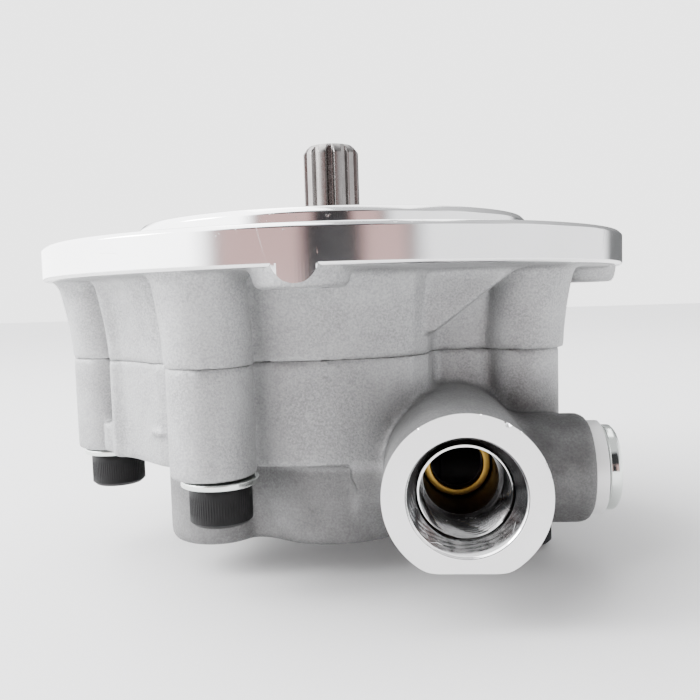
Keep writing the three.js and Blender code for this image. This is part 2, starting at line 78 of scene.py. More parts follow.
def span(node):
    """A node's lowest and highest corner, in millimetres."""
    low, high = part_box(node)
    return np.array(low) / MM, np.array(high) / MM


def middle(node):
    low, high = span(node)
    return (low + high) / 2


# ---- driving sizes, in millimetres ----
FRONT_HIGH = span("front_housing")[1]
REAR_LOW, REAR_HIGH = span("rear_housing")
SHAFT_LOW, SHAFT_HIGH = span("drive_shaft")
IDLER = middle("driven_shaft")
PLUG_LOW, PLUG_HIGH = span("valve_plug")
RING_LOW, RING_HIGH = span("orifice_ring")

RIM = FRONT_HIGH[0]
FLANGE_THICK = 9.8
PILOT_RADIUS, PILOT_HEIGHT = 63.5, FRONT_HIGH[2]
PARTING = -33.0
REAR_TOP = REAR_HIGH[2]
PLATE = -61.3
CAP = -84.0
CAP_BLOCKS = ((-30, 0, -52, -10), (-40, -20, -46, -10))  # x, x, y, y
DRIVE_BOSS, DRIVEN_BOSS = 23.0, 25.0  # radii
SCREW_BOSS_END = -80.0
ROOT_WEB = (8.7, -60.0, -40.0, -65.6)  # left, front, back, bottom
GUSSET = {"left": 27.0, "toe": 31.5, "right": 57.0, "front": -50.0, "back": -33.0, "bottom": -27.5}
GUSSET_SLOPE = (0.6025, 0.798)  # how its slanted side faces, along x and z
LEDGE, LEDGE_TOP = (-62.0, -39.5, 4.4), -51.5  # x, y, radius
SMEAR, SMEAR_TURN = (-43.5, -59.7, -52.0), (0.75, 0.66)
LOBE = (-31.2, -45.0, 13.6)  # x, y, radius
SEAL_LINE, SEAL_HALF, SEAL_FLOOR = 24.0, 1.3, PARTING - 2.2  # the groove between the housings
PAD_ORBIT, PAD_RADIUS, PAD_DEPTH, PAD_HOLE = 81.0, 12.1, 4.7, 7.2
OUTLET = np.array([middle("orifice_ring")[0], REAR_LOW[1], middle("orifice_ring")[2]])
OUTLET_NECK, OUTLET_FLAT, OUTLET_MOUTH, OUTLET_BORE = 19.0, -78.8, 13.7, 10.7
INLET = np.array([-14.0, REAR_HIGH[1], -61.0])
INLET_NECK, INLET_MOUTH, INLET_BORE = 23.0, 17.95, 15.65
VALVE_Y, VALVE_Z = middle("valve_plug")[1], middle("valve_plug")[2]
VALVE_BOSS, VALVE_END, VALVE_RIM, VALVE_RIM_END = 15.0, 73.2, 12.9, REAR_HIGH[0]
COLUMNS = {  # centre x, y, radius in the rear housing, radius in the front one
    "a": (-26.0, -69.0, 11.0, 11.3),
    "b": (-68.4, -25.7, 11.5, 11.6),
    "d": (58.0, -29.0, 10.5, 12.0),
    "e": (-52.0, 40.0, 11.0, 11.3),
    "f": (40.0, 52.0, 11.0, 11.3),
}
LETTERS = sorted(COLUMNS)
SCREW_AT = {c: middle(f"body_screw_{c}") for c in LETTERS}
WASHER_SEAT = {c: span(f"body_washer_{c}")[1][2] + 0.3 for c in LETTERS}


# ---- the outline of the body ----
def arc(cx, cy, radius, start, end, count):
    turns = np.radians(np.linspace(start, end, count + 1))
    return [(cx + radius * math.cos(t), cy + radius * math.sin(t)) for t in turns]


OUTLINE = np.array([
    (-57, -47.5), (-54, -49.6), (-43, -60), (-38, -62.3),
    *arc(-5, -8, 54.8, -110, -56, 18),
    (29.8, -47.5), (30.9, -43), (31, -37), (33, -35), (46, -33.6), (50.5, -30),
    (54, -22), (61, -8), *arc(0, 0, 61, 0, 180, 64),
    (-61, -8), (-62, -37), (-62.3, -44), (-61, -46.6),
])


# ---- signed distances on a grid, negative inside ----
class Grid:
    """Millimetre coordinates of every grid point, as arrays that broadcast."""

    def __init__(self, low, high):
        self.low = np.array(low, float)
        counts = np.ceil((np.array(high) - self.low) / STEP).astype(int) + 1
        axes = [self.low[i] + STEP * np.arange(counts[i]) for i in range(3)]
        self.x = axes[0][:, None, None].astype(np.float32)
        self.y = axes[1][None, :, None].astype(np.float32)
        self.z = axes[2][None, None, :].astype(np.float32)


def outline_distance(x, y):
    """Distance from points in the plane to the body's outline."""
    best = np.full(np.broadcast(x, y).shape, 1e9, np.float32)
    inside = np.zeros(best.shape, bool)
    for (ax, ay), (bx, by) in zip(OUTLINE, np.roll(OUTLINE, -1, axis=0)):
        ex, ey = bx - ax, by - ay
        share = np.clip(((x - ax) * ex + (y - ay) * ey) / (ex * ex + ey * ey), 0, 1)
        dx, dy = x - ax - share * ex, y - ay - share * ey
        best = np.minimum(best, dx * dx + dy * dy)
        if ay != by:
            crosses = (ay > y) != (by > y)
            inside ^= crosses & (x < ex * (y - ay) / ey + ax)
    return np.sqrt(best) * np.where(inside, -1, 1)


def blend_join(a, b, fillet):
    """Union of two distances with a rounded inner corner."""
    h = np.maximum(fillet - np.abs(a - b), 0) / fillet
    return np.minimum(a, b) - h * h * fillet / 4


def blend_meet(a, b, edge):
    """Intersection of two distances with a rounded outer edge."""
    return -blend_join(-a, -b, edge)


def slab(v, low, high):
    return np.maximum(low - v, v - high)


def rod(u, v, cu, cv, radius):
    """Distance to an endless round rod, in the plane of u and v."""
    return np.sqrt((u - cu) ** 2 + (v - cv) ** 2) - radius


def flare(z):
    """The front housing widens towards the flange."""
    rise = np.clip((z - PARTING) / (-FLANGE_THICK - PARTING), 0, 1.05)
    return 1 + 0.045 * rise ** 1.6


def front_cast(g):
    """The sand-textured body under the flange, with its columns, rib and pads."""
    scale = flare(g.z)
    body = np.empty(np.broadcast(g.x, g.y, g.z).shape, np.float32)
    for k in range(g.z.shape[2]):
        s = float(scale[0, 0, k])
        plane = outline_distance(g.x[:, :, 0] / s, g.y[:, :, 0] / s)
        for cx, cy, _, radius in COLUMNS.values():
            column = rod(g.x[:, :, 0] / s, g.y[:, :, 0] / s, cx, cy, radius)
            plane = blend_join(plane, column, 1.9)
        body[:, :, k] = plane * s
    body = blend_meet(body, PARTING - 0.14 - g.z, 0.55)
    rib = blend_meet(slab(g.x, GUSSET["left"], GUSSET["right"]),
                     slab(g.y, GUSSET["front"], GUSSET["back"]), 0.7)
    slope = ((g.x - GUSSET["toe"]) * GUSSET_SLOPE[0]
             - (g.z - GUSSET["bottom"]) * GUSSET_SLOPE[1]).astype(np.float32)
    rib = blend_meet(blend_meet(rib, GUSSET["bottom"] - g.z, 0.8), slope, 0.8)
    body = blend_join(body, np.maximum(rib, g.z + 5), 1.0)
    plate = np.maximum(rod(g.x, g.y, 0, 0, RIM - 2.5), slab(g.z, -FLANGE_THICK, -5))
    body = blend_join(body, plate, 2.6)
    for k in range(4):
        cx, cy = PAD_ORBIT * math.sin(k * TAU / 4), -PAD_ORBIT * math.cos(k * TAU / 4)
        drop = np.clip(-FLANGE_THICK - g.z, 0, PAD_DEPTH)
        pad = rod(g.x, g.y, cx, cy, PAD_RADIUS - 0.26 * drop)
        pad = blend_meet(pad, slab(g.z, -FLANGE_THICK - PAD_DEPTH, -5), 1.5)
        body = blend_join(body, pad, 1.6)
    return body


def rear_cast(g):
    """The rear housing's plate, columns, caps, port necks and valve boss as one casting."""
    plane = outline_distance(g.x[:, :, 0], g.y[:, :, 0])
    for cx, cy, radius, _ in COLUMNS.values():
        plane = blend_join(plane, rod(g.x[:, :, 0], g.y[:, :, 0], cx, cy, radius), 1.9)
    body = blend_meet(plane[:, :, None], PLATE - g.z, 1.3)
    body = blend_meet(body, g.z - REAR_TOP - 0.1, 0.55)
    cap = blend_join(rod(g.x, g.y, IDLER[0], IDLER[1], DRIVEN_BOSS), rod(g.x, g.y, 0, 0, DRIVE_BOSS), 4)
    for x0, x1, y0, y1 in CAP_BLOCKS:
        cap = blend_join(cap, np.maximum(slab(g.x, x0, x1), slab(g.y, y0, y1)), 3)
    cap = blend_join(cap, rod(g.x, g.y, *LOBE), 1.6)
    cap = blend_meet(cap, slab(g.z, CAP, PLATE + 3), 3.4)
    body = blend_join(body, cap, 2.4)
    boss = blend_meet(rod(g.x, g.y, *COLUMNS["d"][:3]), slab(g.z, SCREW_BOSS_END, PLATE + 3), 0.8)
    body = blend_join(body, boss, 2.0)
    neck = rod(g.x, g.z, OUTLET[0], OUTLET[2], OUTLET_NECK)
    neck = blend_meet(neck, OUTLET_FLAT - g.z, 1.0)
    neck = np.maximum(neck, slab(g.y, OUTLET[1] - 3, -8))
    body = blend_join(body, neck, 2.6)
    left, front, back, bottom = ROOT_WEB
    web = np.maximum(slab(g.x, left, OUTLET[0]), slab(g.y, front, back))
    web = blend_meet(web, slab(g.z, bottom, PLATE + 1), 1.2)
    body = blend_join(body, web, 1.4)
    valve = blend_meet(rod(g.y, g.z, VALVE_Y, VALVE_Z, VALVE_BOSS), g.x - VALVE_END, 4.0)
    body = blend_join(body, np.maximum(valve, 10 - g.x), 3.0)
    inlet = rod(g.x, g.z, INLET[0], INLET[2], INLET_NECK)
    inlet = np.maximum(inlet, slab(g.y, 10, INLET[1] + 3))
    body = blend_join(body, inlet, 3.6)
    # A ledge closes the groove beside column b.
    ledge = np.maximum(rod(g.x, g.y, *LEDGE), slab(g.z, PLATE + 1, LEDGE_TOP))
    body = blend_join(body, ledge, 1.0)
    # The groove of the housing seal runs round both shafts.
    reach = np.clip((g.x * IDLER[0] + g.y * IDLER[1]) / (IDLER[0] ** 2 + IDLER[1] ** 2), 0, 1)
    loop = np.sqrt((g.x - reach * IDLER[0]) ** 2 + (g.y - reach * IDLER[1]) ** 2)
    groove = np.maximum(np.abs(loop - SEAL_LINE) - SEAL_HALF, SEAL_FLOOR - g.z)
    body = np.maximum(body, -groove)
    # A small raised smear of metal on the corner beside column a.
    x, y, z = g.x - SMEAR[0], g.y - SMEAR[1], g.z - SMEAR[2]
    along = x * SMEAR_TURN[0] - y * SMEAR_TURN[1]
    off = x * SMEAR_TURN[1] + y * SMEAR_TURN[0]
    mark = np.sqrt((along * 0.35) ** 2 + off ** 2 + (z * 1.3) ** 2) - 1.1
    return blend_join(body, mark.astype(np.float32), 0.9)


# ---- meshes ----
def mesh_of(name, points, faces):
    mesh = bpy.data.meshes.new(name)
    mesh.from_pydata([tuple(p) for p in points], [], [tuple(f) for f in faces])
    mesh.validate()
    return mesh


def piece_of(name, mesh, *materials):
    piece = bpy.data.objects.new(name, mesh)
    bpy.context.scene.collection.objects.link(piece)
    for material in materials:
        mesh.materials.append(material)
    return piece


def cast_piece(name, distance, grid, material):
    """The surface where the distance is zero."""
    padded = np.pad(distance.astype(np.float32), 1, constant_values=3.0)
    field = openvdb.FloatGrid(3.0)
    field.copyFromArray(np.ascontiguousarray(np.clip(padded, -3, 3)))
    points, quads = field.convertToQuads(0.0)
    points = (points * STEP + grid.low - STEP) * MM
    mesh = bpy.data.meshes.new(name)
    mesh.vertices.add(len(points))
    mesh.vertices.foreach_set("co", points.astype(np.float32).ravel())
    mesh.loops.add(quads.size)
    mesh.loops.foreach_set("vertex_index", quads.astype(np.int32).ravel())
    mesh.polygons.add(len(quads))
    mesh.polygons.foreach_set("loop_start", np.arange(0, quads.size, 4, dtype=np.int32))
    mesh.update(calc_edges=True)
    mesh.validate()
    return piece_of(name, mesh, material)


AXES = {
    "z": Matrix.Identity(4),
    "y": Matrix.Rotation(-TAU / 4, 4, "X"),
    "x": Matrix.Rotation(TAU / 4, 4, "Y"),
}


def grid_mesh(name, rings, axis="z", at=(0, 0, 0), loop=False):
    """A closed mesh from equal rings of points about +Z, in mm, laid along an axis at a place."""
    count = len(rings[0])
    points = np.concatenate(rings)
    rows = len(rings)
    faces = []
    for i in range(rows if loop else rows - 1):
        j = (i + 1) % rows
        for k in range(count):
            n = (k + 1) % count
            faces.append((i * count + k, i * count + n, j * count + n, j * count + k))
    if not loop:
        faces.append(tuple(range(count - 1, -1, -1)))
        faces.append(tuple(range((rows - 1) * count, rows * count)))
    mesh = mesh_of(name, points * MM, faces)
    mesh.transform(AXES[axis])
    mesh.transform(Matrix.Translation(Vector(at) * MM))
    check = bmesh.new()
    check.from_mesh(mesh)
    bmesh.ops.recalc_face_normals(check, faces=check.faces)
    check.to_mesh(mesh)
    check.free()
    return mesh


def circle(radius, height, sides):
    turns = np.arange(sides) * TAU / sides
    radii = radius(turns) if callable(radius) else np.full(sides, float(radius))
    heights = height(turns) if callable(height) else np.full(sides, float(height))
    return np.stack([radii * np.cos(turns), radii * np.sin(turns), heights], 1)


def lathe(name, profile, sides=96, axis="z", at=(0, 0, 0), loop=False):
    """A profile of (radius, height) turned about an axis. A loop closes on itself."""
    rings = [circle(radius, height, sides) for radius, height in profile]
    return grid_mesh(name, rings, axis, at, loop)


def rounded(profile, radius=0.4, steps=3, closed=False):
    """The same profile with each corner rounded."""
    points = [Vector(p) for p in profile]
    made = []
    for i, here in enumerate(points):
        if not closed and i in (0, len(points) - 1):
            made.append(tuple(here))
            continue
        before, after = points[i - 1], points[(i + 1) % len(points)]
        size = min(radius, (before - here).length * 0.45, (after - here).length * 0.45)
        start = here + (before - here).normalized() * size
        end = here + (after - here).normalized() * size
        for k in range(steps + 1):
            t = k / steps
            made.append(tuple(start * (1 - t) ** 2 + here * 2 * t * (1 - t) + end * t * t))
    return made


def box_mesh(name, low, high):
    low, high = np.minimum(low, high), np.maximum(low, high)
    points = [[(low, high)[k >> i & 1][i] * MM for i in range(3)] for k in range(8)]
    faces = [(0, 2, 3, 1), (4, 5, 7, 6), (0, 1, 5, 4), (2, 6, 7, 3), (0, 4, 6, 2), (1, 3, 7, 5)]
    return mesh_of(name, points, faces)


def combine(piece, mesh, operation, material):
    """Joins or cuts a closed mesh, whose faces keep their own material."""
    tool = piece_of("tool", mesh, material)
    change = piece.modifiers.new("change", "BOOLEAN")
    change.object = tool
    change.operation = operation
    change.solver = "MANIFOLD"
    change.material_mode = "TRANSFER"
    depsgraph = bpy.context.evaluated_depsgraph_get()
    made = bpy.data.meshes.new_from_object(piece.evaluated_get(depsgraph))
    piece.modifiers.clear()
    old, piece.data = piece.data, made
    bpy.data.meshes.remove(old)
    bpy.data.objects.remove(tool)
    if not len(made.polygons):
        raise RuntimeError(f"nothing is left of {piece.name} after {mesh.name}")


def smooth(piece, angle=32):
    piece.data.shade_smooth()
    piece.data.set_sharp_from_angle(angle=math.radians(angle))


def hand_over(piece, body, slot, *nodes):
    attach(piece, body)
    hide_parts(*nodes)
    return piece


# ---- materials ----
class Tree:
    """A node tree whose nodes are added one by one."""

    def __init__(self, tree):
        self.nodes, self.links = tree.nodes, tree.links

    def put(self, kind, inputs=(), **settings):
        node = self.nodes.new(kind)
        for key, value in settings.items():
            setattr(node, key, value)
        for key, value in dict(inputs).items():
            if isinstance(value, bpy.types.NodeSocket):
                self.links.new(value, node.inputs[key])
            else:
                node.inputs[key].default_value = value
        return node

    def remap(self, value, low, high, to_low=0.0, to_high=1.0):
        return self.put("ShaderNodeMapRange", {
            "Value": value, "From Min": low, "From Max": high,
            "To Min": to_low, "To Max": to_high}).outputs[0]

    def math(self, operation, a, b):
        return self.put("ShaderNodeMath", {0: a, 1: b}, operation=operation).outputs[0]

    def mix(self, share, a, b):
        node = self.put("ShaderNodeMix", data_type="RGBA")
        for socket, value in ((node.inputs[0], share), (node.inputs[6], a), (node.inputs[7], b)):
            if isinstance(value, bpy.types.NodeSocket):
                self.links.new(value, socket)
            else:
                socket.default_value = value
        return node.outputs[2]


class Paint(Tree):
    """A material in object space."""

    def __init__(self, name):
        self.material = bpy.data.materials.new(name)
        self.material.use_nodes = True
        super().__init__(self.material.node_tree)
        self.shader = self.nodes["Principled BSDF"]
        self.place = self.nodes.new("ShaderNodeTexCoord").outputs["Object"]

    def grain(self, scale, detail=4.0, rough=0.55, stretch=None, twist=0.0):
        """Noise of a grain size in 1/metre, from 0 to 1, stretched along an axis if asked."""
        place = self.place
        if stretch:
            place = self.put("ShaderNodeMapping", {"Vector": place, "Scale": stretch}).outputs[0]
        node = self.put("ShaderNodeTexNoise", {
            "Vector": place, "Scale": scale, "Detail": detail, "Roughness": rough,
            "Distortion": twist})
        return node.outputs["Fac"]

    def bumps(self, *layers):
        """Bump layers, each a height, a strength and a depth in metres."""
        normal = None
        for height, strength, depth in layers:
            inputs = {"Height": height, "Strength": strength, "Distance": depth}
            if normal is not None:
                inputs["Normal"] = normal
            normal = self.put("ShaderNodeBump", inputs).outputs[0]
        self.links.new(normal, self.shader.inputs["Normal"])

    def finish(self, color, roughness, metallic, **fixed):
        self.links.new(color, self.shader.inputs["Base Color"])
        self.links.new(roughness, self.shader.inputs["Roughness"])
        self.shader.inputs["Metallic"].default_value = metallic
        for key, value in fixed.items():
            self.shader.inputs[key.replace("_", " ")].default_value = value
        return self.material


def grey(value, warm=0.0):
    return (value + warm, value, value - warm, 1.0)


def cast_metal(name, light, dark, skin_and_shade_below=0.0, neck=0.0):
    """Sand-textured casting: fine grit, soft mottling and rare pits.

    It is darker below the plate and round the outlet: partly the casting's own darker grey, partly
    painted shade under the plate and under the flange's overhang.
    """
    p = Paint(name)
    mottle = p.remap(p.grain(48, 5, 0.6, twist=0.4), 0.32, 0.68)
    color = p.mix(mottle, grey(dark, -0.003), grey(light, -0.004))
    grit = p.grain(1700, 3, 0.7)
    speck = p.remap(grit, 0.38, 0.68)
    axes = p.put("ShaderNodeSeparateXYZ", {0: p.place}).outputs
    # Painted shade, partly the casting's own darker grey: darker below the plate and round the outlet
    # neck.
    low = p.remap(axes[2], (PLATE - 2.5) * MM, (PLATE + 0.5) * MM, skin_and_shade_below, 0.0)
    across = p.math("MULTIPLY", p.remap(axes[0], 0.012, 0.026, 0.0, neck),
                    p.remap(axes[2], -0.050, -0.038, 1.0, 0.0))
    patches = p.remap(p.grain(120, 5, 0.6), 0.3, 0.7, 0.72, 1.0)
    skin_and_shade = p.math("MULTIPLY", p.math("MAXIMUM", low, across), patches)
    color = p.mix(p.remap(speck, 0, 1, 0.0, 0.5), color, grey(light * 1.38))
    # Mixes in the darker grey and the painted shade.
    color = p.mix(skin_and_shade, color, grey(dark * 0.34, 0.001))
    pits = p.remap(p.grain(330, 2, 0.5), 0.735, 0.79)
    color = p.mix(p.math("MULTIPLY", pits, 0.4), color, grey(dark * 0.6))
    rough = p.remap(speck, 0, 1, 0.66, 0.46)
    p.bumps((pits, 0.3, -0.0001), (grit, 0.85, 0.00019), (p.grain(420, 4, 0.6), 0.35, 0.00022))
    return p.finish(color, rough, 0.70)


def turned_metal(name, tone, rough, metallic=1.0, across=(1, 1, 26), edge=None):
    """Machined aluminium: fine tool lines, haze, thin scratches, and chips along an edge height."""
    p = Paint(name)
    lines = p.grain(900, 2, 0.6, stretch=across)
    haze = p.remap(p.grain(42, 4, 0.6), 0.35, 0.7)
    color = p.mix(haze, grey(tone, -0.004), grey(tone * 0.94, 0.002))
    cells = p.put("ShaderNodeTexVoronoi", {"Vector": p.place, "Scale": 75.0}, feature="DISTANCE_TO_EDGE")
    thin = p.remap(cells.outputs["Distance"], 0.002, 0.010, 1.0, 0.0)
    scratch = p.math("MULTIPLY", thin, p.remap(p.grain(70, 3, 0.5), 0.56, 0.62))
    chips = p.remap(p.grain(650, 4, 0.7), 0.64, 0.70)
    if edge is not None:
        height = p.put("ShaderNodeSeparateXYZ", {0: p.place}).outputs[2]
        chips = p.math("MULTIPLY", chips, p.remap(height, (edge - 3.0) * MM, (edge - 0.6) * MM))
        chips = p.math("MULTIPLY", chips, p.remap(p.grain(60, 2, 0.5), 0.44, 0.56))
    else:
        chips = p.math("MULTIPLY", chips, 0.15)
    marks = p.math("MAXIMUM", p.math("MULTIPLY", scratch, 0.45), chips)
    color = p.mix(p.math("MULTIPLY", marks, 0.4), color, grey(tone * 1.06))
    fine = p.remap(lines, 0.3, 0.7, -0.03, 0.03)
    base = p.math("ADD", fine, p.remap(haze, 0, 1, rough, rough + 0.05))
    worn = p.math("ADD", base, p.math("MULTIPLY", marks, 0.3))
    p.bumps((lines, 0.06, 0.00002), (marks, 0.35, -0.00006))
    return p.finish(color, worn, metallic)


def plain_metal(name, color, rough, metallic=1.0, grain=800.0, depth=0.00003, stain=0.75, gloss=0.5):
    """Ground, plated or oxidised metal with fine grain, mottling and rubbed patches."""
    p = Paint(name)
    fine = p.grain(grain, 4, 0.6)
    patch = p.remap(p.grain(95, 5, 0.6), 0.35, 0.68)
    tint = (*(c * stain for c in color), 1.0)
    mixed = p.mix(patch, (*color, 1.0), tint)
    rub = p.remap(p.grain(260, 3, 0.6), 0.66, 0.74)
    mixed = p.mix(p.math("MULTIPLY", rub, 0.3), mixed, (*(min(1, c * 1.5 + 0.03) for c in color), 1.0))
    spread = p.math("ADD", p.remap(fine, 0.3, 0.7, -0.04, 0.05), p.remap(patch, 0, 1, rough, rough + 0.1))
    p.bumps((fine, 0.3, depth))
    return p.finish(mixed, spread, metallic, Specular_IOR_Level=gloss)


def rubber_skin(name):
    p = Paint(name)
    patch = p.remap(p.grain(120, 4, 0.6), 0.3, 0.7)
    color = p.mix(patch, grey(0.014), grey(0.026))
    p.bumps((p.grain(1200, 3, 0.6), 0.3, 0.00005))
    return p.finish(color, p.remap(patch, 0, 1, 0.55, 0.72), 0.0)


CAST = cast_metal("cast_front", 0.39, 0.26)
# The rear casting takes the painted shade below the plate and round the outlet neck.
CAST_REAR = cast_metal("cast_rear", 0.375, 0.25, skin_and_shade_below=0.74, neck=0.92)
TURNED = turned_metal("turned_flange", 0.84, 0.09, edge=0.0)
FACED = turned_metal("faced_port", 0.88, 0.42, metallic=0.35, across=(1, 1, 1))
CHAMFERED = turned_metal("chamfered", 0.85, 0.06, across=(1, 1, 1))
# Dark tone of the machined walls: painted shade inside the bores and holes.
BORED_SHADED = turned_metal("bored_painted_shade", 0.24, 0.2, across=(1, 14, 1))
# Near-black walls of the inner passages: painted shade deep inside them.
DEEP_SHADE = plain_metal("deep_painted_shade", (0.06, 0.058, 0.056), 0.42, 0.7)
STEEL = plain_metal("shaft_steel", (0.22, 0.21, 0.205), 0.24)
GEAR_STEEL = plain_metal("gear_steel", (0.33, 0.32, 0.31), 0.3)
OXIDE = plain_metal("black_oxide", (0.005, 0.005, 0.0055), 0.5, 0.0, depth=0.00006, gloss=0.22)
ZINC = plain_metal("zinc_plate", (0.74, 0.78, 0.75), 0.07, stain=0.93)
BRASS = plain_metal("brass", (0.50, 0.31, 0.07), 0.3)
RUBBER = rubber_skin("seal_rubber")


# ---- the housings ----
def screw_holes(low, high, radius):
    return [lathe("screw_hole", [(radius, low), (radius, high)], 40, at=(x, y, 0))
            for x, y, _ in SCREW_AT.values()]


def dowel_holes(low, high):
    places = [middle("dowel_pin_1"), middle("dowel_pin_2")]
    return [lathe("dowel_hole", [(3.3, low), (3.3, high)], 32, at=(x, y, 0)) for x, y, _ in places]


def threaded_bore(name, start, end, minor, pitch, depth, at):
    """A closed tool along +Y whose side is a helical thread that fades out at both ends."""
    sides = 72
    rows = int((end - start) / pitch * 6)
    rings = []
    for i in range(rows + 1):
        height = start + (end - start) * i / rows
        fade = min(1, (height - start) / pitch, (end - height) / pitch)

        def radius(turns, height=height, fade=fade):
            phase = (height / pitch - turns / TAU) % 1
            return minor + depth * max(fade, 0) * (1 - np.abs(2 * phase - 1))

        rings.append(circle(radius, height, sides))
    return grid_mesh(name, rings, "y", at)


def flange_mesh():
    """The turned flange and its pilot, with small dents along the rim's upper edge."""
    sides = 720
    rng = np.random.default_rng(7)
    wear = np.clip(np.interp(
        np.arange(sides), np.linspace(0, sides, 260), rng.normal(0, 1, 260)) - 1.15, 0, 1)
    profile = rounded([
        (PAD_ORBIT - 22, -FLANGE_THICK + 0.4), (RIM - 0.5, -FLANGE_THICK), (RIM, -FLANGE_THICK + 0.6),
        (RIM, -FLANGE_THICK + 1.2), (RIM, -1.6), (RIM, -1.0), (RIM - 1.0, 0), (RIM - 1.8, 0),
        (PILOT_RADIUS + 1.2, 0), (PILOT_RADIUS + 0.5, 0), (PILOT_RADIUS, 0.6),
        (PILOT_RADIUS, 1.3), (PILOT_RADIUS, PILOT_HEIGHT - 2.2), (PILOT_RADIUS, PILOT_HEIGHT - 1.5),
        (PILOT_RADIUS - 1.5, PILOT_HEIGHT), (PILOT_RADIUS - 2.4, PILOT_HEIGHT), (20, PILOT_HEIGHT),
    ], 0.3)
    rings = []
    for radius, height in profile:
        edge = max(0.0, 1 - abs(radius - RIM + 0.4) / 0.8) * max(0.0, 1 - abs(height + 0.4) / 0.9)
        rings.append(circle(lambda t, r=radius, e=edge: r - 0.22 * e * wear, height, sides))
    return grid_mesh("flange", rings)


def front_housing():
    g = Grid((-96, -96, PARTING - 1), (96, 96, -4.5))
    piece = cast_piece("front_housing_casting", front_cast(g), g, CAST)
    rim_trim = lathe("rim_trim", [(RIM, PARTING - 3), (RIM, 5)], 720)
    combine(piece, rim_trim, "INTERSECT", TURNED)
    top_trim = box_mesh("top_trim", (-99, -99, -7), (99, 99, 5))
    combine(piece, top_trim, "DIFFERENCE", TURNED)
    combine(piece, flange_mesh(), "UNION", TURNED)
    cutters = [
        lathe("seal_bore", rounded([
            (17.0, -8), (17.0, 0.7), (18.4, 0.7), (18.4, 2.9), (17.0, 2.9),
            (17.0, PILOT_HEIGHT - 1), (18.4, PILOT_HEIGHT + 0.4), (18.4, PILOT_HEIGHT + 2)], 0.1)),
        lathe("shaft_bore", [(9.3, PARTING - 1), (9.3, -7)]),
        lathe("drive_bush_bore", [(11.8, PARTING - 1), (11.8, -12.7)]),
        lathe("driven_bush_bore", [(11.8, PARTING - 1), (11.8, -12.7)], at=(IDLER[0], IDLER[1], 0)),
        *screw_holes(PARTING - 1, -15, 5.5),
        *dowel_holes(PARTING - 1, -26),
    ]
    for k in range(4):
        at = (PAD_ORBIT * math.sin(k * TAU / 4), -PAD_ORBIT * math.cos(k * TAU / 4), 0)
        cutters.append(lathe("flange_hole", [
            (PAD_HOLE + 0.7, -16), (PAD_HOLE, -13.6), (PAD_HOLE, -0.7), (PAD_HOLE + 0.9, 0.4)],
            64, at=at))
    for cutter in cutters:
        combine(piece, cutter, "DIFFERENCE", BORED_SHADED)
    smooth(piece)
    turned = piece.data.materials.find(TURNED.name)
    for face in piece.data.polygons:  # the turned patches on the pads mirror cleanly when flat
        if face.material_index == turned and face.center.z < (-FLANGE_THICK - 0.05) * MM:
            face.use_smooth = False
    return hand_over(piece, "pump_body", "cast_aluminium", "front_housing")


# The inner passages that take the near-black painted shade.
SHADED_PASSAGES = ("orifice_bore", "throat", "pressure_passage", "pressure_cross", "suction_passage",
         "suction_cross", "valve_bore")
MIRRORED = ("outlet_mouth", "inlet_mouth", "nick")


